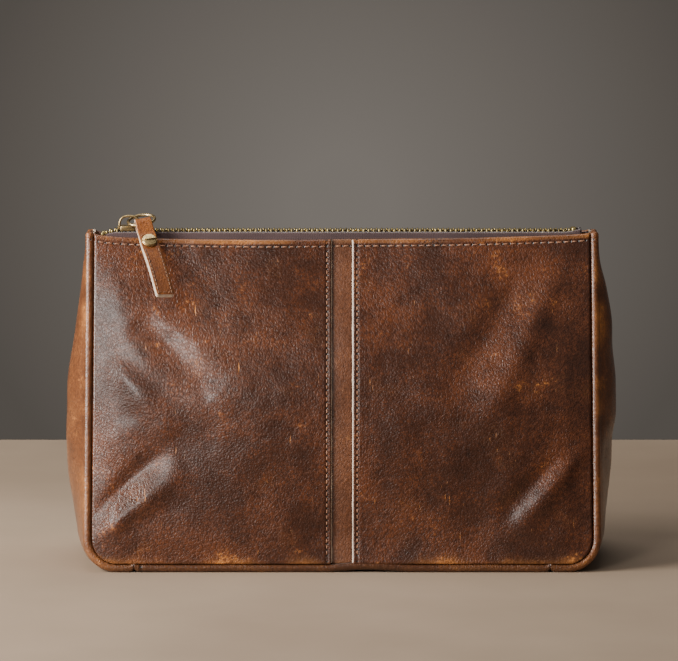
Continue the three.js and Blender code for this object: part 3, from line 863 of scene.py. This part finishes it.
lowest_v = pattern_top - (height - seam_z - 7 * MM) * wall_lean
for word, sign in (("left", -1), ("right", 1)):
    highest = int((pattern_top - hem_row) / centre_pitch)
    v = np.arange(math.ceil(lowest_v / centre_pitch), highest) * centre_pitch
    x = np.full(len(v), sign * (strip_half + centre_row))
    wall_stitches(f"{word}_strip_stitches", x, v, 0.0, centre_pitch, -1, front_relief, 0.0, "bag")
hem_holes = np.arange(-32, 32) * hem_pitch
on_strip = (np.abs(hem_holes) < strip_half - hem_pitch * 0.2) & (np.abs(hem_holes + hem_pitch) < strip_half)
on_panels = ((hem_holes < -strip_half - hem_pitch) | (hem_holes > strip_half)) & (
    np.abs(hem_holes + hem_pitch / 2) < seam_x - 3.2 * MM)
for name, holes, side, relief, inset, body in (
        ("front_hem_stitches", hem_holes[on_panels], -1, front_relief, 0.0, "bag"),
        ("strip_hem_stitches", hem_holes[on_strip], -1, strip_relief, strip_inset, "bag"),
        ("back_hem_stitches", hem_holes[np.abs(hem_holes + hem_pitch / 2) < seam_x - 3.2 * MM], 1,
         back_relief, 0.0, None)):
    v = np.full(len(holes), pattern_top - hem_row)
    wall_stitches(name, holes, v, hem_pitch, 0.0, side, relief, inset, body)

for word, side in (("left", -1), ("right", 1)):
    curve = hem_curves[side]
    arc = np.concatenate([[0], np.cumsum(np.hypot(*np.diff(curve[:, :2], axis=0).T))])
    count = int(arc[-1] / hem_pitch)
    first = (arc[-1] - count * hem_pitch) / 2 + np.arange(count) * hem_pitch + stitch_margin
    along = lambda run: np.stack([np.interp(run, arc, curve[:, k]) for k in range(3)], axis=-1)
    last = first + hem_pitch - 2 * stitch_margin
    travel = along(last) - along(first)
    outward = side * np.stack([travel[:, 1], -travel[:, 0], 0 * first], axis=-1)
    outward = outward / np.linalg.norm(outward, axis=1, keepdims=True)
    row = stitches(f"{word}_hem_stitches", along(first), along(last), outward, dark_thread)
    belongs(row, None, "gusset_leather")

# ---------------- linings
# Five pieces of plain twill, one inside each leather piece and cut to its size. Their
# seams follow the leather's, and their top edges are caught in the hem.
lining_inset = 3.8 * MM
lining_drop = 4 * MM


def cloth_of(name, tones, pitch, ribs):
    """Woven cloth in its flat pattern: two sets of threads and, for twill, slanting ribs."""
    material, shader, tree = finish_of(name, {"Sheen Weight": 0.25, "Specular IOR Level": 0.2})
    cut = add_node(tree, "ShaderNodeUVMap", {"uv_map": "cut"}, {})
    u = add_node(tree, "ShaderNodeSeparateXYZ", {}, {0: cut}, 0)
    v = add_node(tree, "ShaderNodeSeparateXYZ", {}, {0: cut}, 1)
    fold = lambda value, size: add_node(tree, "ShaderNodeMath", {"operation": "PINGPONG"},
                                        {0: value, 1: size}) / size
    warp, weft = fold(u, pitch), fold(v, pitch)
    slant = fold(u * ribs + v, pitch * 2)
    thread = warp * 0.4 + weft * 0.4 + slant * 0.5
    patch = noise(cut, 35.0, 4.0)
    fuzz = noise(cut, 1900.0, 2.0)
    feed(shader, Base_Color=ramp(thread * 0.3 + patch * 0.5 + fuzz * 0.3, [
        (0.30, tones[0]), (0.75, tones[1])]), Roughness=0.8 + fuzz * 0.15,
        Normal=bump(thread + fuzz * 0.5, 0.5, 0.00015))
    return material


def area_of(points):
    """Area of a grid's surface in square metres."""
    across, along = points[:-1, 1:] - points[:-1, :-1], points[1:, :-1] - points[:-1, :-1]
    return float(np.linalg.norm(np.cross(across, along), axis=-1).sum())


def lining_sheet(name, node, points, cut, outward, body):
    """One lining piece, a thin sheet; its flat size with an allowance on every side is worked out but not
    used.
    """
    piece = sheet_object(name, points, cut, outward, [lining_cloth])
    give_wall(piece, 0.6 * MM)
    belongs(piece, body, "lining_cloth", node)
    extent = np.ptp(cut.reshape(-1, 2), axis=0) + 2 * seam_allowance
    flat = (float(extent[0]), float(extent[1]))
    min(area_of(points) * 1.03, flat[0] * flat[1])


lining_cloth = cloth_of("lining_cloth", [(0.24, 0.185, 0.13), (0.46, 0.38, 0.28)], 0.55 * MM, 1.0)
seam_allowance = 5 * MM
corner = np.linspace(0, math.pi / 2, 9, endpoint=False)
low = seam_z + lining_inset + (corner_radius - lining_inset) * (1 - np.cos(corner))
z_rows = np.concatenate([low, np.linspace(seam_z + corner_radius, height - lining_drop, 60)])
half_width = wall_reach(z_rows, lining_inset)
x = half_width[:, None] * np.linspace(-1, 1, 90)
z = z_rows[:, None] * np.ones(90)
for word, side, relief, body in (("front", -1, front_relief, "bag"), ("back", 1, back_relief, None)):
    fade = unit((height - lining_drop - z) / 0.01) * 0.5
    loose = lambda a, b: np.minimum(relief(a, b), relief(a, b) * fade)
    points = wall_surface(x, z, side, loose, lining_inset)
    cut = np.stack([x, z * wall_lean], axis=-1)
    lining_sheet(f"{word}_lining", f"lining_{word}", points, cut, (0, side, 0), body)


def lining_band(route, side):
    """Grid of a lining band: a plain bulge between the two wall linings."""
    rows, cuts = [], []
    t = np.linspace(-1, 1, 41)
    for x_seam, z_seam, out_x, out_z, bulge, power, run in route.T:
        y = (float(wall_depth(z_seam)) - lining_inset) * t
        out = (bulge - 1.0 * MM) * (1 - np.abs(t) ** power)
        rows.append(np.stack([side * (x_seam + out * out_x), y, z_seam + out * out_z], axis=-1))
        cuts.append(np.stack([y, np.full(len(t), pattern_top - run)], axis=-1))
    return np.array(rows), np.array(cuts)


for word, side, swell_at in (("left", -1, left_swell), ("right", 1, right_swell)):
    route = band_route(swell_at, lining_inset, height - lining_drop, (50, 9, 6))
    points, cut = lining_band(route, side)
    lining_sheet(f"{word}_gusset_lining", f"lining_{word}_gusset", points, cut, (side, 0, 0), None)
points, cut = lining_band(base_route(np.linspace(-base_joint, base_joint, 60), lining_inset), 1)
lining_sheet("base_lining", "lining_base", points, cut, (0, 0, -1), "bag")

# ---------------- zip tapes
# Two woven tapes, sewn behind the hems. Each rises past its hem and turns over to
# the middle, where the teeth are clamped on its edge.
zip_height = height - 0.2 * MM
chain_left = -115 * MM
tooth_pitch = 2.5 * MM
tooth_count = 91
tape_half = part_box("front_zip_tape")[1][0]
tape_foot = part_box("front_zip_tape")[0][2]
tape_edge = 2.6 * MM  # middle of the chain to a tape's edge
tape_cloth = cloth_of("zip_tape", [(0.016, 0.009, 0.0095), (0.085, 0.052, 0.052)], 0.42 * MM, 2.0)
slider_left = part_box("slider_body")[0][0]
slider_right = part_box("slider_body")[1][0]


def zip_line(x):
    """Height of the chain: level along the slider's whole travel, and a little higher at
    its closed end, where the tapes run up to the gusset."""
    return zip_height + 1.5 * MM * unit((x - 108.5 * MM) / (7 * MM)) ** 1.5


def parting(x):
    """How far a row stands from the closed chain beyond the slider's open end."""
    return 1.5 * MM * unit((slider_left + 3 * MM - x) / (7 * MM)) ** 1.2


def end_drop(x):
    """How far the chain curls down beyond the slider's open end."""
    return 2.6 * MM * unit((slider_left - 1 * MM - x) / (9 * MM)) ** 1.6


def tape_grid(side):
    """Grid of a tape: up behind the hem, round a small bend and in to the teeth."""
    x = np.linspace(-tape_half, tape_half, 170)
    top = zip_line(x) - end_drop(x)
    bend, edge = 1.3 * MM, tape_edge + parting(x)
    rows = []
    for share in np.linspace(0, 1, 7):
        z = tape_foot + (top - bend - tape_foot) * share
        rows.append([wall_depth(z) - 3.1 * MM, z])
    foot_depth = rows[-1][0]
    for angle in np.linspace(0, math.pi / 2, 6)[1:]:
        rows.append([foot_depth - bend * (1 - math.cos(angle)), top - bend * (1 - math.sin(angle))])
    bent_depth = rows[-1][0]
    for share in (0.5, 1.0):
        rows.append([bent_depth + (edge - bent_depth) * share, top])
    depth, z = np.array([row[0] for row in rows]), np.array([row[1] for row in rows])
    points = np.stack([np.broadcast_to(x, z.shape), side * depth, z], axis=-1)
    run = np.concatenate([np.zeros((1, len(x))),
                          np.cumsum(np.hypot(np.diff(depth, axis=0), np.diff(z, axis=0)), axis=0)])
    return points, np.stack([points[..., 0], run], axis=-1)


for word, side, body in (("front", -1, "bag"), ("back", 1, "back_wall")):
    points, cut = tape_grid(side)
    tape = sheet_object(f"{word}_tape_cloth", points, cut, (0, side, 0), [tape_cloth])
    give_wall(tape, 0.5 * MM)
    belongs(tape, body, "zip_tape", f"{word}_zip_tape")
    "lining_front" if side < 0 else "lining_back"

# ---------------- teeth and stops
# Cast antique-brass teeth, clamped one by one on the tapes' edges. The back row sits
# half a pitch on from the front row, and the two rows' heads pass each other.


def brass_of(name, tones, rough, dull_scale=180.0):
    """Antique brass: bright metal through a brown tarnish, with small casting marks."""
    material, shader, tree = finish_of(name, {"Specular IOR Level": 0.5})
    place = place_on_piece(tree)
    patch = noise(place, dull_scale, 4.0, 0.6)
    speck = noise(place, 1500.0, 3.0)
    tarnish = step(patch * 0.7 + speck * 0.3, 0.42, 0.62)
    feed(shader, Base_Color=blend_colours(tarnish, (*tones[0], 1), (*tones[1], 1)),
         Metallic=1 - tarnish * 0.15, Roughness=rough + tarnish * 0.16 + speck * 0.08,
         Normal=bump(speck * 0.4 + patch, 0.25, 0.00016))
    return material


tooth_brass = brass_of("tooth_brass", [(0.44, 0.345, 0.15), (0.15, 0.115, 0.050)], 0.28)
slider_brass = brass_of("slider_brass", [(0.50, 0.37, 0.18), (0.20, 0.14, 0.066)], 0.26)
ring_brass = brass_of("ring_brass", [(0.52, 0.39, 0.20), (0.24, 0.17, 0.085)], 0.24)


def tooth_rows(side):
    """Rings of every tooth in a row: jaws on the tape, a waist and a rounded head."""
    reach = np.array([3.5, 3.35, 2.4, 1.7, 0.3, -0.5, -0.75]) * MM
    half_x = np.array([0.36, 0.52, 0.54, 0.48, 0.50, 0.46, 0.30]) * MM
    half_z = np.array([1.00, 1.35, 1.45, 1.20, 1.48, 1.40, 0.90]) * MM
    corner = np.array([[1, 0.55], [0.6, 1], [-0.6, 1], [-1, 0.55], [-1, -0.55], [-0.6, -1],
                       [0.6, -1], [1, -0.55]])
    x = chain_left + 0.6 * MM + tooth_pitch * (np.arange(tooth_count) + (0.5 if side > 0 else 0))
    level = zip_line(x) - end_drop(x)
    away = parting(x)
    rings = np.zeros((tooth_count, len(reach), 8, 3))
    rings[..., 0] = x[:, None, None] + half_x[:, None] * corner[:, 0]
    rings[..., 1] = side * (reach[:, None] + away[:, None, None] * np.ones(8))
    rings[..., 2] = level[:, None, None] + half_z[:, None] * corner[:, 1]
    return rings


def rounded_plate(outline, low, high, bevel):
    """Rings of a flat plate with rounded edges. outline is counterclockwise; the plate runs
    from low to high at right angles to it."""
    travel = np.roll(outline, -1, axis=0) - np.roll(outline, 1, axis=0)
    inward = np.stack([-travel[:, 1], travel[:, 0]], axis=-1)
    inward /= np.linalg.norm(inward, axis=-1, keepdims=True)
    rings = []
    for angle in np.radians([0, 30, 60, 90]):
        rings.append((outline + inward * bevel * (1 - math.sin(angle)),
                      low + bevel * (1 - math.cos(angle))))
    rings += [(flat, low + high - level) for flat, level in rings[::-1]]
    return np.array([np.column_stack([flat, np.full(len(flat), level)]) for flat, level in rings])


def oval(half_length, half_width, power, count=40):
    """A superellipse outline, counterclockwise from its right end."""
    angle = np.arange(count) * 2 * math.pi / count
    ease = lambda v: np.sign(v) * np.abs(v) ** (2 / power)
    return np.column_stack([half_length * ease(np.cos(angle)), half_width * ease(np.sin(angle))])


for word, side, body in (("front", -1, "bag"), ("back", 1, "back_wall")):
    teeth = loft_object(f"{word}_teeth", tooth_rows(side), tooth_brass)
    belongs(teeth, body, "antique_brass", f"{word}_tooth_row")
    stop_x = chain_left - 1.3 * MM
    shape = rounded_plate(oval(1.0 * MM, 1.9 * MM, 4, 24), -1.2 * MM, 1.2 * MM, 0.35 * MM)
    shape = shape + np.array([stop_x, side * (tape_edge + parting(stop_x)),
                              zip_line(stop_x) - end_drop(stop_x)])
    stop = loft_object(f"{word}_stop", shape[None], tooth_brass)
    belongs(stop, body, "antique_brass", f"{word}_top_stop")
last_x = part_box("bottom_stop")[0][0] + 1.4 * MM
shape = rounded_plate(oval(1.4 * MM, 4.0 * MM, 4, 32), -1.25 * MM, 1.25 * MM, 0.4 * MM)
end_stop = loft_object("end_stop", (shape + np.array([last_x, 0, zip_line(last_x)]))[None], tooth_brass)
belongs(end_stop, "bag", "antique_brass", "bottom_stop")

# ---------------- slider and bail
# A die-cast slider: two plates joined by a post at the open end, with flanges that
# guide the rows. A flat-topped arch on its upper plate holds the pull ring.
slider_x = (slider_left + slider_right) / 2
slider_half = (slider_right - slider_left) / 2
slider_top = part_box("slider_body")[1][2]

# Seen from above: round at the open end on the left, narrower at the other end.
slider_outline = oval(slider_half + 0.5 * MM, 4.5 * MM, 2.9, 56)
along_slider = slider_outline[:, 0] / slider_half
slider_outline[:, 1] *= 1.0 - 0.13 * np.clip(along_slider, -1, 1) - 0.06 * along_slider**2
slider_outline = slider_outline + np.array([slider_x, 0])


def flange_rings(side, low, high):
    """A low wall along one side of a plate."""
    x = np.linspace(-slider_half * 0.80, slider_half * 0.86, 14)
    outer = 4.35 * MM * (1.0 - 0.13 * x / slider_half - 0.10 * (x / slider_half) ** 2)
    along = np.column_stack([slider_x + x, side * outer])
    back = np.column_stack([slider_x + x[::-1], side * (outer[::-1] - 0.75 * MM)])
    outline = np.concatenate([along, back])
    return rounded_plate(outline if side < 0 else outline[::-1], low, high, 0.12 * MM)


tape_room = 0.6 * MM  # half the gap that the tapes run in
slider_parts = {
    "slider_upper_plate": rounded_plate(slider_outline, zip_height + 1.75 * MM,
                                        slider_top - 0.45 * MM, 0.45 * MM),
    "slider_lower_plate": rounded_plate(slider_outline, zip_height - 2.85 * MM,
                                        zip_height - 1.65 * MM, 0.4 * MM),
    "slider_post": rounded_plate(
        oval(0.9 * MM, 0.7 * MM, 2, 20) + np.array([slider_left + 1.0 * MM, 0]),
        zip_height - 1.8 * MM, zip_height + 1.9 * MM, 0.05 * MM),
}
for level, low, high in (("upper", tape_room, 2.1 * MM), ("lower", -2.0 * MM, -tape_room)):
    for word, side in (("front", -1), ("back", 1)):
        slider_parts[f"slider_{level}_{word}_flange"] = flange_rings(
            side, zip_height + low, zip_height + high)
for name, shape in slider_parts.items():
    part = loft_object(name, shape[None], slider_brass)
    belongs(part, "slider", "antique_brass")
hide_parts("slider_body")

bail_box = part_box("slider_bail")
bail_y = (bail_box[0][1] + bail_box[1][1]) / 2
bail_half = (bail_box[1][0] - bail_box[0][0]) / 2 - 0.55 * MM
angle = np.linspace(-0.12, math.pi + 0.12, 44)
ease = lambda v: np.sign(v) * np.abs(v) ** (2 / 2.7)
arch = np.column_stack([slider_x + bail_half * ease(np.cos(angle)), np.full(44, bail_y),
                        slider_top - 0.7 * MM + 5.1 * MM * ease(np.sin(angle))])
wide = 0.85 * MM + 0.35 * MM * np.abs(np.cos(angle)) ** 4
rings = tubes(arch, np.array([0.0, 1.0, 0.0]), np.stack([wide, np.full(44, 0.6 * MM)], axis=-1), 14)
bail = loft_object("bail_arch", rings[None], slider_brass)
belongs(bail, "slider", "antique_brass", "slider_bail")

# ---------------- pull ring
# A ring of round wire through the bail. It lies back across the slider, and the
# tab's fold hangs on its front side.
roll, lean, tilt = math.radians(14.8), math.radians(45), math.radians(17)
tab_down = np.array([math.sin(roll), -math.cos(roll) * math.sin(lean), -math.cos(roll) * math.cos(lean)])
tab_across = np.array([math.cos(roll), math.sin(roll) * math.sin(lean), math.sin(roll) * math.cos(lean)])
tab_out = -np.cross(tab_across, tab_down)
ring_back = np.array([0, math.cos(tilt), math.sin(tilt)])
ring_back -= ring_back @ tab_across * tab_across
ring_back /= np.linalg.norm(ring_back)
ring_radius, wire_radius = 6.5 * MM, 0.75 * MM
ring_low, ring_high = (np.array(corner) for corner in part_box("pull_ring"))
ring_middle = (ring_low + ring_high) / 2
angle = np.arange(72) * 2 * math.pi / 72
circle = ring_middle + ring_radius * (np.cos(angle)[:, None] * tab_across
                                      + np.sin(angle)[:, None] * ring_back)
travel = np.cos(angle)[:, None] * ring_back - np.sin(angle)[:, None] * tab_across
ring_axis = np.cross(tab_across, ring_back)
radial = np.cross(travel, ring_axis)
turn = np.arange(14) * 2 * math.pi / 14
rings = circle[:, None] + wire_radius * (np.cos(turn)[:, None] * ring_axis
                                         + np.sin(turn)[:, None] * radial[:, None])
ring = loft_object("wire_ring", rings[None], ring_brass, looped=True)
belongs(ring, "ring", "antique_brass", "pull_ring")

# ---------------- leather tab
# One strip of tan leather folded over the ring, with a drop-shaped open fold. Its two
# layers are sewn along the sides and the end, and across just below the fold.
tab_layer = 1.05 * MM
tab_length = 46 * MM
wire_bow = ring_radius - math.sqrt(ring_radius**2 - (4.3 * MM) ** 2)
fold_middle = ring_middle - ring_radius * ring_back + ring_back * wire_bow / 2
fold_radius = wire_bow / 2 + 1.12 * MM + tab_layer / 2


def on_tab(down, out, across):
    """Place of a point given along the tab, out of its face and across it. The tab twists a
    little below the fold."""
    down, out, across = (np.asarray(v)[..., None] for v in (down, out, across))
    share = unit(down / (26 * MM))
    twist = math.radians(17) * share**2 * (3 - 2 * share)
    return (fold_middle + down * tab_down
            + (out * np.cos(twist) - across * np.sin(twist)) * tab_out
            + (out * np.sin(twist) + across * np.cos(twist)) * tab_across)


tab_corner = 0.5 * MM


def tab_half(down):
    """Half width: the strip widens from the fold, and its end has small round corners."""
    near_end = unit((down - tab_length + tab_corner) / tab_corner)
    widening = 3.9 * MM + 0.55 * MM * unit(down / (18 * MM))
    return widening - tab_corner * (1 - np.sqrt(1 - near_end**2))


def tab_wave(down):
    """A slight bend of the whole strip out of its plane."""
    share = unit(down - 12 * MM) / (tab_length - 12 * MM)
    return 0.7 * MM * np.sin(math.pi * share) * unit(share * 6)


meet = 7.2 * MM  # from the fold's middle to where the layers meet
open_angle = math.acos((fold_radius - tab_layer / 2) / meet)
round_angle = np.linspace(open_angle, 2 * math.pi - open_angle, 26)
straight = np.concatenate([np.linspace(tab_length, meet + 2.5 * MM, 44, endpoint=False),
                           np.linspace(meet + 2.5 * MM, meet * 0.66, 9, endpoint=False)])
blend_in = unit((meet + 2.5 * MM - straight) / (meet * 0.34 + 2.5 * MM))
taper = fold_radius * math.sin(open_angle) / (meet - fold_radius * math.cos(open_angle))
line_out = taper * (meet - straight)
line_out = tab_layer / 2 + np.maximum(line_out - tab_layer / 2, 0) * blend_in
profile_down = np.concatenate([straight, fold_radius * np.cos(round_angle), straight[::-1]])
profile_out = np.concatenate([line_out, fold_radius * np.sin(round_angle), -line_out[::-1]])
profile_out = profile_out + tab_wave(profile_down)
share = np.linspace(-1, 1, 15)
across = tab_half(profile_down)[:, None] * share
down = profile_down[:, None] + 0 * across
points = on_tab(down, profile_out[:, None] + 0 * across, across)
run = np.concatenate([[0], np.cumsum(np.hypot(np.diff(profile_down), np.diff(profile_out)))])
cut = np.stack([across, run[:, None] + 0 * across], axis=-1)
edge_wear = unit((np.abs(across) - tab_half(profile_down)[:, None] + 0.9 * MM) / (0.9 * MM))
tab_stitch_in = 1.15 * MM
near_row = np.abs(np.abs(across) - tab_half(profile_down)[:, None] + tab_stitch_in)
# Painted shade along the tab's stitch rows.
groove = unit(1 - near_row / (0.7 * MM)) * (down > 17 * MM) * 0.75
tab_leather = leather_of(
    "tab_leather", [(0.050, 0.0130, 0.0025), (0.150, 0.0420, 0.0065), (0.30, 0.095, 0.014)],
    (0.58, 0.22, 0.04), gloss=0.50, grain=0.0008, coat=0.04)
tab = sheet_object("tab_strip", points, cut, tab_out, [tab_leather, edge_leather],
                   {"wear": edge_wear * 0.5, "groove": groove})
give_wall(tab, tab_layer, rim_material=1).modifiers["thickness"].offset = 0
belongs(tab, "tab", "tab_leather", "pull_tab")

pale_thread = thread_of("pale_thread", [(0.07, 0.030, 0.014), (0.24, 0.125, 0.065)])
tab_pitch = 2.4 * MM
rows_down = np.arange(17 * MM, tab_length - 2.0 * MM, tab_pitch)
begin, end = [], []
for sign in (-1, 1):
    for d in rows_down:
        begin.append((d, sign * (tab_half(d) - tab_stitch_in)))
        end.append((d + tab_pitch * 0.72, sign * (tab_half(d) - tab_stitch_in)))
for d in (tab_length - 1.5 * MM, 7.6 * MM):
    for middle in np.arange(-1, 2) * tab_pitch:
        begin.append((d, middle - tab_pitch * 0.36))
        end.append((d, middle + tab_pitch * 0.36))
begin, end = np.array(begin), np.array(end)
for word, face in (("front", 1), ("back", -1)):
    lift = lambda d: face * tab_layer + tab_wave(d)
    row = stitches(f"tab_{word}_stitches", on_tab(begin[:, 0], lift(begin[:, 0]), begin[:, 1]),
                   on_tab(end[:, 0], lift(end[:, 0]), end[:, 1]),
                   np.tile(face * tab_out, (len(begin), 1)), pale_thread, 0.26 * MM)
    belongs(row, "tab", "tab_leather")

# ---------------- screw
# A two-part screw through both layers. The front head is domed and has a slot; the
# back head is flat, on a tube that takes the screw's shank.
screw_down = 12 * MM
head_radius = 3.8 * MM
slot_half = 0.45 * MM
slot_turn = math.radians(-3)


def screw_piece(name, node, outline, low, high, bevel):
    """A rounded plate that lies on the tab, with its middle at the screw's hole."""
    shape = rounded_plate(outline, low, high, bevel)
    points = on_tab(screw_down - shape[..., 1], shape[..., 2], shape[..., 0])
    part = loft_object(name, points[None], slider_brass)
    belongs(part, "tab", "antique_brass")
    if node:
        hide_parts(node)


face = tab_layer + 0.05 * MM
screw_piece("screw_head_base", "screw_head", oval(head_radius, head_radius, 2, 48),
            face, face + 0.9 * MM, 0.25 * MM)
start = math.asin(slot_half / (head_radius - 0.25 * MM))
for word, half_turn in (("lower", math.pi), ("upper", 0.0)):
    angle = np.linspace(start, math.pi - start, 26) + half_turn + slot_turn
    cap = (head_radius - 0.25 * MM) * np.column_stack([np.cos(angle), np.sin(angle)])
    screw_piece(f"screw_head_{word}_half", None, cap, face + 0.6 * MM, face + 1.55 * MM, 0.35 * MM)
screw_piece("screw_shank", "screw_post", oval(1.7 * MM, 1.7 * MM, 2, 24),
            -face - 0.1 * MM, face + 0.1 * MM, 0.05 * MM)
screw_piece("screw_back_head", None, oval(head_radius, head_radius, 2, 48),
            -face - 1.0 * MM, -face, 0.3 * MM)
